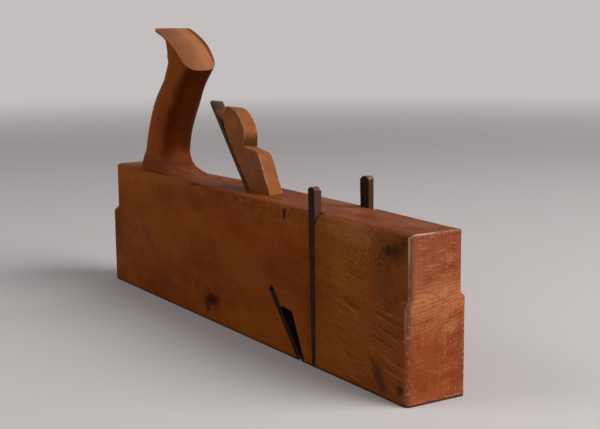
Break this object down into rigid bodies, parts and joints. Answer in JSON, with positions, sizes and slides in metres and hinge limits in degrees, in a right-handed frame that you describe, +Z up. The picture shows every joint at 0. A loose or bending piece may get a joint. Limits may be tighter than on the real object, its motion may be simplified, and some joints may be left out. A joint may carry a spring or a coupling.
{
  "type": "rabbet plane",
  "caption": "Wooden rabbet plane with an open handle, a skewed wedged iron as wide as the stock, and a nicker let into each side.",
  "frame": {"origin": "middle of the sole, at the bottom of the stock", "axes": "+X along the stock towards the toe, +Y to the left of the plane, +Z up"},
  "size_m": [0.368, 0.0376, 0.1902],
  "materials": {
    "stock_beech": "aged reddish-orange beech, worn satin",
    "handle_beech": "dark hand-polished beech, satin",
    "wedge_beech": "paler yellow-brown beech, matte",
    "iron_steel": "dark aged steel, dull",
    "nicker_steel": "near-black browned steel, dull"
  },
  "bodies": {
    "stock": {"stock": "stock_beech", "handle": "handle_beech"},
    "iron": {"iron": "iron_steel"},
    "wedge": {"wedge": "wedge_beech"},
    "right_nicker": {"right_nicker": "nicker_steel"},
    "left_nicker": {"left_nicker": "nicker_steel"}
  },
  "joints": [
    {"name": "iron_slide", "type": "slide", "parent": "stock", "child": "iron", "axis": [0.6613, 0, -0.7501], "range_m": [0, 0.06]},
    {"name": "wedge_slide", "type": "slide", "parent": "stock", "child": "wedge", "axis": [-0.6613, 0, 0.7501], "range_m": [0, 0.1]},
    {"name": "right_nicker_slide", "type": "slide", "parent": "stock", "child": "right_nicker", "axis": [0, 0, 1], "range_m": [0, 0.09]},
    {"name": "left_nicker_slide", "type": "slide", "parent": "stock", "child": "left_nicker", "axis": [0, 0, 1], "range_m": [0, 0.09]}
  ]
}
